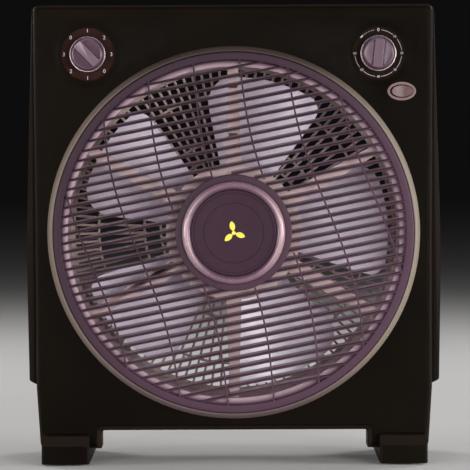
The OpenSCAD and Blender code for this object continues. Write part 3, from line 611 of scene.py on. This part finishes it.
def rib_line(k, v):
    """Sideways place of rib k at height v above the hub's middle."""
    gather = 1 - 0.05 * (v / RIM_IN) ** 2
    return k * RIB_PITCH * gather - RIB_LEAN * v - RIB_SWING * math.sin(math.pi * v / RIB_WAVE)


def rib_height(k, side):
    """Height at which rib k runs into the rim, above the middle (side 1) or below it (side -1)."""
    low, high = 0.0, RIB_END
    for _ in range(20):
        v = (low + high) / 2
        if math.hypot(rib_line(k, side * v), v) < RIB_END:
            low = v
        else:
            high = v
    return side * low


def slat_spans(v):
    """Stretches of a slat at height v that are between the rim and the hub."""
    outer = math.sqrt(RIB_END ** 2 - v * v)
    if abs(v) > ROOT_R - 0.5 * MM:
        return [(-outer, outer)]
    inner = math.sqrt(ROOT_R ** 2 - v * v)
    return [(-outer, -inner), (inner, outer)]


def make_slats(bm):
    """Level slats, tilted so that each rises towards its back."""
    count = int(2 * (RIM_IN - 6 * MM) / SLAT_PITCH)
    tilt = math.radians(SLAT_TILT)
    back = Vector((0, math.cos(tilt), math.sin(tilt)))
    up = Vector((0, -math.sin(tilt), math.cos(tilt)))
    for i in range(count):
        v = (i - (count - 1) / 2) * SLAT_PITCH
        mid = Vector((0, LOUVRE_FRONT, v)) + back * SLAT_DEEP / 2 + up * SLAT_THICK / 2
        for left, right in slat_spans(v):
            beam(bm, mid + Vector((left, 0, 0)), mid + Vector((right, 0, 0)), back, up,
                 SLAT_DEEP, SLAT_THICK, 0.45 * MM)


def make_ribs(bm):
    """Curved ribs, each a chain of short rounded stretches that share their ends."""
    steps = 30
    for k in range(-3, 4):
        foot, top = rib_height(k, -1), rib_height(k, 1)
        points = [foot + (top - foot) * i / steps for i in range(steps + 1)]
        sections = []
        for v in points:
            u = rib_line(k, v)
            inside = math.hypot(u, v) < ROOT_R
            half, front, rear = RIB_W / 2, LOUVRE_FRONT, LOUVRE_FRONT + RIB_REACH
            edge = 0.4 * MM
            ring = [(u - half, rear), (u - half, front + edge), (u - half + edge, front),
                    (u + half - edge, front), (u + half, front + edge), (u + half, rear)]
            sections.append(None if inside else [bm.verts.new((x, y, v)) for x, y in ring])
        for a, b in zip(sections, sections[1:]):
            if a and b:
                for n in range(6):
                    bm.faces.new((a[n], a[(n + 1) % 6], b[(n + 1) % 6], b[n]))
        for here, before, after in zip(sections, [None] + sections, sections[1:] + [None]):
            if here and not (before and after):
                bm.faces.new(here)


def make_rim(bm):
    """Flat band round the slats, with a slope behind its inner edge."""
    front, back = LOUVRE_FRONT, LOUVRE_BACK
    wall = 1.8 * MM
    slope_in = RIM_IN - RIM_SLOPE
    inner_round, outer_round = 1 * MM, 1.3 * MM
    profile = [(slope_in, back), (slope_in, front + 8 * MM), (RIM_IN - 0.8 * MM, front + 3.6 * MM)]
    profile += arc(RIM_IN + inner_round, front + inner_round, inner_round, 180, 270, 5)
    profile += arc(LOUVRE_R - outer_round, front + outer_round, outer_round, 270, 360, 5)
    profile += [(LOUVRE_R, back), (LOUVRE_R - wall, back), (LOUVRE_R - wall, front + wall),
                (RIM_IN + wall, front + wall), (RIM_IN + wall, back)]
    turned_faces(bm, profile)


def make_louvre_hub(bm):
    """Flat ring round a recess, with a skirt behind it that the slats run into."""
    front = louvre_low.y
    recess = cap_high.y
    seat = bezel_high.x
    shaft, boss, wall = 3.5 * MM, 8 * MM, HUB_WALL
    profile = [(shaft, recess + 6 * MM), (shaft, recess - 4 * MM), (boss, recess - 4 * MM),
               (boss, recess), (seat, recess), (seat, front + 0.5 * MM), (seat + 0.5 * MM, front)]
    profile += arc(HUB_R - 1 * MM, front + 1 * MM, 1 * MM, 270, 360, 4)
    profile += [(HUB_R, LOUVRE_BACK), (HUB_R - wall, LOUVRE_BACK), (HUB_R - wall, front + wall),
                (seat + wall, front + wall), (seat + wall, recess + wall), (boss, recess + wall),
                (boss, recess + 6 * MM)]
    turned_faces(bm, profile)


def make_louvre():
    bm, done = joined("louvre_disc", LOUVRE, body_of("louvre"), "louvre_plastic", "louvre")
    make_slats(bm)
    make_ribs(bm)
    bmesh.ops.transform(bm, matrix=TURN, verts=bm.verts)
    make_rim(bm)
    make_louvre_hub(bm)
    done()


make_louvre()


def make_bezel():
    """Pearl ring: a half-round between the hub's flat ring and the sunken cap."""
    inner, outer = cap_high.x + 0.1 * MM, bezel_high.x
    crest = (inner + outer) / 2
    front, outer_foot, inner_foot = bezel_low.y, louvre_low.y, cap_low.y + 0.8 * MM
    steps = 24
    profile = [(inner, bezel_high.y), (outer, bezel_high.y)]
    for i in range(steps + 1):
        t = math.pi * i / steps
        foot = outer_foot if 2 * i < steps else inner_foot
        profile.append((crest + (outer - crest) * math.cos(t), foot - (foot - front) * math.sin(t)))
    bm, done = joined("hub_bezel_form", PEARL_PAINTED_LIGHT, "louvre", "pearl_ring", "hub_bezel")
    turned_faces(bm, profile)
    done(50)


# Radius and width of each groove in the cap
CAP_GROOVES = ((28.6 * MM, 0.9 * MM), (38.4 * MM, 0.7 * MM))


def make_cap():
    """Cap with a rounded brim, two fine grooves and a faintly dished middle."""
    front, r = cap_low.y, cap_high.x
    face, back = front + 0.15 * MM, front + 2.4 * MM
    middle_r, draft, groove_floor = 0.05 * MM, 0.15 * MM, face + 0.45 * MM
    brim_round, wall = 0.8 * MM, 2 * MM
    profile = [(middle_r, front + 0.3 * MM), (22 * MM, front + 0.25 * MM)]
    for groove, width in CAP_GROOVES:
        profile += [(groove, face), (groove + draft, groove_floor),
                    (groove + width - draft, groove_floor), (groove + width, face)]
    profile += arc(r - brim_round, front + brim_round, brim_round, 270, 360, 5)
    profile += [(r, cap_high.y), (r - wall, cap_high.y), (r - wall, back), (middle_r, back)]
    bm, done = joined("hub_cap_form", CAP, "louvre", "cap_plastic", "hub_cap")
    turned_faces(bm, profile)
    done(30)


make_bezel()
make_cap()
rounded_part("hub_emblem", EMBLEM, "emblem_print", 0.25 * MM, 2)

# ---------------------------------------------------------------- impeller

TIP_R = 152 * MM
CUP_R = 46 * MM
CUP_FRONT = -24 * MM
CUP_BACK = 22 * MM
CUP_WALL = 2.5 * MM
BOSS_R = 9 * MM
BORE_R = 4 * MM
BLADE_SPAN = math.radians(47)
BLADE_PITCH = math.radians(22)
BLADE_MID = -9 * MM
BOW_R = 220 * MM
BOW_RISE = 3 * MM
BLADE_T = 2.2 * MM
LEAD_ROUND = 30 * MM
TRAIL_ROUND = 16 * MM
BLADES = 5
FIRST_BLADE = 12.5


def blade_depth(x):
    """Place in Y of the blade's pitched and bowed sheet, x to the side of its middle line."""
    along = x / math.cos(BLADE_PITCH)
    for _ in range(8):
        bow = BOW_R - BOW_RISE + BLADE_T / 2 - math.sqrt(BOW_R ** 2 - along ** 2)
        along = (x - bow * math.sin(BLADE_PITCH)) / math.cos(BLADE_PITCH)
    return BLADE_MID - along * math.sin(BLADE_PITCH) + bow * math.cos(BLADE_PITCH)


def corner_inset(r, rounding):
    """Angle by which a blade's side draws in at radius r, to round its outer corner."""
    past = (r - (TIP_R - rounding)) / rounding
    if past <= 0:
        return 0.0
    return rounding / TIP_R * (1 - math.sqrt(max(0.0, 1 - past * past)))


def make_blade(bm, angle):
    """One blade as a grid of points, from the hub to the tip and from leading to trailing edge."""
    rows, columns = 26, 20
    root = CUP_R - 1.5 * MM
    turn = Matrix.Translation((0, 0, AXIS_Z)) @ Matrix.Rotation(math.radians(angle), 4, "Y")
    grid = []
    for i in range(rows + 1):
        r = root + (TIP_R - root) * math.sin(math.pi / 2 * i / rows)
        first = -BLADE_SPAN / 2 + corner_inset(r, LEAD_ROUND)
        last = BLADE_SPAN / 2 - corner_inset(r, TRAIL_ROUND)
        row = []
        for k in range(columns + 1):
            a = first + (last - first) * k / columns
            x, z = r * math.sin(a), r * math.cos(a)
            row.append(bm.verts.new(turn @ Vector((x, blade_depth(x), z))))
        grid.append(row)
    for i in range(rows):
        for k in range(columns):
            bm.faces.new((grid[i][k], grid[i][k + 1], grid[i + 1][k + 1], grid[i + 1][k]))


def make_impeller():
    """The blades, thickened and rounded, and the cup that carries them."""
    bm, done = joined("impeller_blades", BLADE, "impeller", "blade_plastic", "impeller")
    for i in range(BLADES):
        make_blade(bm, FIRST_BLADE + 360 / BLADES * i)
    blades = done(60)
    thick = blades.modifiers.new("thickness", "SOLIDIFY")
    thick.thickness = BLADE_T
    thick.offset = 0
    bevel(blades, 0.9 * MM, 3, 50)
    front, back, wall, boss_back = CUP_FRONT, CUP_BACK, CUP_WALL, -3 * MM
    cup_round, inner_bevel = 4 * MM, 2 * MM
    profile = [(BORE_R, front)]
    profile += arc(CUP_R - cup_round, front + cup_round, cup_round, 270, 360, 6)
    profile += [(CUP_R, back), (CUP_R - wall, back), (CUP_R - wall, front + wall + inner_bevel),
                (CUP_R - wall - inner_bevel, front + wall), (BOSS_R, front + wall), (BOSS_R, boss_back),
                (BORE_R, boss_back)]
    bm, done = joined("impeller_cup", BLADE, "impeller", "blade_plastic", "impeller")
    turned_faces(bm, profile, steps=160)
    done()


make_impeller()

# ---------------------------------------------------------------- duct, carrier and rear grille

rounded_part("carrier_ring", CARRIER, "carrier_plastic", 0.5 * MM, 2)
rounded_part("front_spider", CARRIER, "carrier_plastic", 0.5 * MM, 2)


DUCT_WALL = 2.5 * MM


def make_duct():
    """Tube round the blades, with a bevelled front lip."""
    low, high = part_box("air_duct")
    outer = high.x
    inner = outer - DUCT_WALL
    lip = 0.8 * MM
    profile = [(inner, high.y), (inner, low.y + lip), (inner + lip, low.y), (outer - lip, low.y),
               (outer, low.y + lip), (outer, high.y)]
    bm, done = joined("air_duct_form", CARRIER, body_of("air_duct"), "carrier_plastic", "air_duct")
    turned_faces(bm, profile)
    done()


GRILLE_RINGS = [73.5 * MM, 90 * MM, 136 * MM]
GRILLE_BARS = [50, 60, 84, 108]
GRILLE_HUB = 53 * MM
GRILLE_IN = 161 * MM
GRILLE_R = 169 * MM
GRILLE_T = 4 * MM
BAR_W = 2.4 * MM
BAR_T = 2.8 * MM
EAR_AT = 174 * MM
EAR_R = 4.6 * MM
EAR_RISE = 6 * MM
SCREW_R = 1.7 * MM


def make_grille():
    """Guard at the back: rings with rounded edges, thinner radial bars between them and four ears."""
    back = grille_high.y
    front = back - GRILLE_T
    mid = (front + back) / 2
    edge = 0.7 * MM
    depth_way = Vector((0, 1, 0))
    bm, done = joined("rear_grille_form", GUARD, body_of("rear_grille"), "grille_plastic", "rear_grille")

    def ring(inner, outer):
        turned_faces(bm, [(inner, back - edge), (inner, front + edge), (inner + edge, front),
                          (outer - edge, front), (outer, front + edge), (outer, back - edge),
                          (outer - edge, back), (inner + edge, back)])

    for r in GRILLE_RINGS:
        ring(r - BAR_W / 2, r + BAR_W / 2)
    ring(GRILLE_IN - 1 * MM, GRILLE_R)
    shaft, hub_back = 5 * MM, back - 1 * MM
    turned_faces(bm, [(shaft, hub_back), (shaft, front), (GRILLE_HUB - edge, front),
                      (GRILLE_HUB, front + edge), (GRILLE_HUB, hub_back - edge),
                      (GRILLE_HUB - edge, hub_back)])
    radii = [GRILLE_HUB - 1 * MM, *GRILLE_RINGS, GRILLE_IN]
    for zone, count in enumerate(GRILLE_BARS):
        for i in range(count):
            a = 360 * (i + 0.5) / count
            beam(bm, clock_point(radii[zone], a, mid), clock_point(radii[zone + 1], a, mid),
                 clock_point(1, a + 90, z=0), depth_way, BAR_W, BAR_T, edge)
    tip, rear, middle_y = front - EAR_RISE, front + 3.5 * MM, front + 1.8 * MM
    for a in (45, 135, 225, 315):
        boss = clock_point(EAR_AT, a)
        turned_faces(bm, [(SCREW_R, tip), (EAR_R - edge, tip), (EAR_R, tip + edge), (EAR_R, rear - 0.5 * MM),
                          (EAR_R - 0.5 * MM, rear), (SCREW_R, rear)], boss.x, boss.z, 40)
        beam(bm, clock_point(GRILLE_R - 1 * MM, a, middle_y), clock_point(EAR_AT - 2 * MM, a, middle_y),
             clock_point(1, a + 90, z=0), depth_way, 2 * EAR_R - 2 * MM, 2.5 * MM, 0.4 * MM)
    done()


make_duct()
make_grille()

# ---------------------------------------------------------------- dials and knobs

DIAL_Z = middle("speed_dial").z
SPEED_X = middle("speed_dial").x
TIMER_X = middle("timer_dial").x
DIAL_R = (speed_high.x - speed_low.x) / 2
PLATE_FRONT = speed_low.y
PLATE_BORE = 7 * MM
MARK_T = 0.12 * MM
SPEED_MARKS_R = 23.0 * MM
TIMER_MARKS_R = 22.7 * MM
FINE_LINE = 0.35 * MM
TICK = 0.5 * MM
BLOCK = 1.3 * MM


def make_plate(node, x, finish):
    """Printed plate with a rounded edge and a fine pressed line near it."""
    front, back = PLATE_FRONT, speed_high.y
    line, line_w, draft, pressed = DIAL_R - 1.2 * MM, 0.6 * MM, 0.15 * MM, 0.2 * MM
    edge = 0.5 * MM
    profile = [(PLATE_BORE, back), (PLATE_BORE, front), (line, front), (line + draft, front + pressed),
               (line + line_w - draft, front + pressed), (line + line_w, front)]
    profile += arc(DIAL_R - edge, front + edge, edge, 270, 360, 4)
    profile.append((DIAL_R, back))
    bm, done = joined(node + "_form", finish, body_of(node), "dial_plate", node)
    turned_faces(bm, profile, x, DIAL_Z, 160)
    done()


def add_glyph(bm, text, size, place):
    """A number as thin raised print, centred on a place and facing the front."""
    curve = bpy.data.curves.new("glyph", "FONT")
    curve.body = text
    curve.size = size
    curve.extrude = MARK_T / 2
    curve.resolution_u = 4
    maker = bpy.data.objects.new("glyph", curve)
    mesh = bpy.data.meshes.new_from_object(maker)
    low = Vector(min(v.co[i] for v in mesh.vertices) for i in range(3))
    high = Vector(max(v.co[i] for v in mesh.vertices) for i in range(3))
    stand = Matrix.Rotation(math.pi / 2, 4, "X")
    mesh.transform(Matrix.Translation(place) @ stand @ Matrix.Translation(-(low + high) / 2))
    bm.from_mesh(mesh)
    bpy.data.objects.remove(maker)
    bpy.data.curves.remove(curve)
    bpy.data.meshes.remove(mesh)


def add_timer_line(bm, start, end, width):
    """Printed line along the timer plate's scale, between two clock angles."""
    steps = max(2, int(abs(end - start) / 2))
    front = PLATE_FRONT - MARK_T / 2
    rows = []
    for i in range(steps + 1):
        a = start + (end - start) * i / steps
        rows.append([bm.verts.new(clock_point(TIMER_MARKS_R + s * width / 2, a, y, TIMER_X, DIAL_Z))
                     for s, y in ((-1, PLATE_FRONT), (-1, front), (1, front), (1, PLATE_FRONT))])
    for here, there in zip(rows, rows[1:]):
        for k in range(3):
            bm.faces.new((here[k], here[k + 1], there[k + 1], there[k]))
    bm.faces.new(rows[0])
    bm.faces.new(rows[-1])


def make_speed_marks():
    """Two rounds of the numbers 1 2 3 0, an eighth of a turn apart."""
    bm, done = joined("speed_marks", MARK, body_of("speed_dial"), "case_white")
    for i, text in enumerate("12301230"):
        add_glyph(bm, text, 5.2 * MM, clock_point(SPEED_MARKS_R, 45 * i, PLATE_FRONT, SPEED_X, DIAL_Z))
    done()


def make_timer_marks():
    """A scale from 0 at the top, numbered every eighth of a turn, with ticks and a block before the 0."""
    bm, done = joined("timer_marks", MARK, body_of("timer_dial"), "case_white")

    def number(text, size, angle):
        add_glyph(bm, text, size, clock_point(TIMER_MARKS_R, angle, PLATE_FRONT, TIMER_X, DIAL_Z))

    number("0", 4.6 * MM, 0)
    for i in range(1, 7):
        add_timer_line(bm, 45 * i - 37, 45 * i - 6, FINE_LINE)
        number(str(10 * i), 3.2 * MM, 45 * i)
    for i in range(5):
        start = -37 + 6 * i
        add_timer_line(bm, start, start + 2.5, TICK)
    add_timer_line(bm, -49, -41, BLOCK)
    done()


def make_knob_ring(node, x):
    """Plated ring round the foot of a knob, with a rounded front edge."""
    low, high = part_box(node)
    outer = (high.x - low.x) / 2
    inner = (middle("speed_knob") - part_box("speed_knob")[0]).x
    edge = 0.35 * MM
    profile = [(inner, high.y), (inner, low.y)]
    profile += arc(outer - edge, low.y + edge, edge, 270, 360, 4)
    profile.append((outer, high.y))
    bm, done = joined(node + "_form", KNOB_METAL, body_of(node), "knob_metal", node)
    turned_faces(bm, profile, x, DIAL_Z, 120)
    done()


make_plate("speed_dial", SPEED_X, DIAL)
make_plate("timer_dial", TIMER_X, TIMER_DIAL)
make_speed_marks()
make_timer_marks()
make_knob_ring("speed_knob_ring", SPEED_X)
make_knob_ring("timer_knob_ring", TIMER_X)
rounded_part("speed_knob", KNOB, "knob_plastic", 0.5 * MM, 4)
rounded_part("timer_knob", KNOB, "knob_plastic", 0.5 * MM, 4)

# ---------------------------------------------------------------- rocker

rounded_part("rocker_bezel", BEZEL, "bezel_plastic", 0.9 * MM, 4)
rounded_part("rocker_button", ROCKER, "rocker_plastic", 0.5 * MM, 3)


PIVOT_Y = FACE + 4 * MM
ROCKER_TILT = 5
HOLLOW_R = 40 * MM
HOLLOW_Y = -46.3 * MM
MARK_AT = 5.6 * MM


def make_rocker_marks():
    """A dash and a ring, raised on the rocker's hollow face."""
    centre = middle("rocker_bezel")
    tip = Matrix.Translation((centre.x, PIVOT_Y, centre.z))
    tip @= Matrix.Rotation(math.radians(ROCKER_TILT), 4, "Z")
    seat = HOLLOW_Y + math.sqrt(HOLLOW_R ** 2 - MARK_AT ** 2)
    half_dash, ring_r, wire_r = 1.5 * MM, 1.5 * MM, 0.35 * MM
    bm, done = joined("rocker_marks", BEZEL, "rocker", "bezel_plastic")
    beam(bm, Vector((-MARK_AT, seat, -half_dash)), Vector((-MARK_AT, seat, half_dash)), Vector((1, 0, 0)),
         Vector((0, 1, 0)), 0.8 * MM, 0.5 * MM, 0.15 * MM)
    wire = arc(ring_r, seat, wire_r, 0, 315, 7)
    turned_faces(bm, wire, MARK_AT, 0, 32)
    bmesh.ops.transform(bm, matrix=tip, verts=bm.verts)
    done()


make_rocker_marks()

# ---------------------------------------------------------------- pieces shown as in the CAD

DRESS = {
    RUBBER: ["foot_pads", "cord_gland"],
    TRIM: ["wire_clips"],
    STEEL: ["louvre_shaft", "louvre_nut", "louvre_motor_screws", "motor_shaft", "drive_pin", "motor_screws",
            "speed_shaft", "timer_shaft", "dial_nuts", "housing_screws", "grille_screws", "foot_screws"],
    CASE: ["louvre_motor", "timer_unit"],
    DARK: ["blade_nut", "speed_switch", "rocker_switch"],
    LAMINATION: ["rotor_core", "stator_core"],
    COPPER: ["stator_windings"],
    ALLOY: ["motor_front_bell", "motor_rear_bell"],
    BRONZE: ["motor_bushes"],
    WHITE: ["run_capacitor"],
    NYLON: ["terminal_block"],
    SLEEVE: ["switch_lead", "motor_lead"],
    THIN_LEAD: ["louvre_lead"],
}


def dress(node, finish):
    """Give a CAD node its finish, smooth curved faces and slightly rounded edges."""
    piece = frame["nodes"][node]
    piece.data.materials.clear()
    piece.data.materials.append(finish.material)
    piece.data.shade_smooth()
    piece.data.set_sharp_from_angle(angle=math.radians(32))
    bevel(piece, 0.25 * MM, 2, 40)


for finish, nodes in DRESS.items():
    for node in nodes:
        dress(node, finish)

# ---------------------------------------------------------------- floor and light


FLOOR_R = 12
FLOOR_BELOW = 0.2 * MM


def make_floor():
    f = Finish("floor_pale", (0.62, 0.61, 0.6), 0.6, specular=0.2)
    f.color(f.blend(f.noise(1.5, 3.0), (0.60, 0.59, 0.58), (0.65, 0.64, 0.63)))
    f.bump(f.noise(220.0, 3.0), 0.0001, 0.2)
    mesh = bpy.data.meshes.new("floor")
    bm = bmesh.new()
    bmesh.ops.create_circle(bm, cap_ends=True, segments=96, radius=FLOOR_R)
    bm.to_mesh(mesh)
    bm.free()
    mesh.materials.append(f.material)
    floor = bpy.data.objects.new("floor", mesh)
    floor.location.z = -FLOOR_BELOW
    scene.collection.objects.link(floor)


def soft_light(name, place, size, power):
    """Square lamp that faces the fan's middle and isn't seen itself."""
    data = bpy.data.lights.new(name, "AREA")
    data.shape = "SQUARE"
    data.size = size
    data.energy = power
    light = bpy.data.objects.new(name, data)
    light.location = place
    away = Vector(place) - Vector((0, 0, AXIS_Z))
    light.rotation_euler = away.to_track_quat("Z", "Y").to_euler()
    light.visible_camera = False
    scene.collection.objects.link(light)


make_floor()
soft_light("key", (1.5, -2.9, 0.40), 1.5, 116)
soft_light("fill", (-1.2, -3.0, 0.35), 1.5, 74)
soft_light("side_left", (-2.4, -0.8, 0.35), 0.9, 40)
soft_light("side_right", (2.4, -0.8, 0.35), 0.9, 60)
soft_light("rim_left", (-1.7, 1.6, 1.1), 0.9, 26)
soft_light("rim_right", (1.7, 1.6, 1.1), 0.9, 26)
soft_light("top", (0, 0.3, 2.3), 1.6, 10)

world = bpy.data.worlds.new("studio")
world.use_nodes = True
background = world.node_tree.nodes["Background"]
background.inputs["Color"].default_value = (0.004, 0.004, 0.0042, 1)
background.inputs["Strength"].default_value = 1.0
scene.world = world
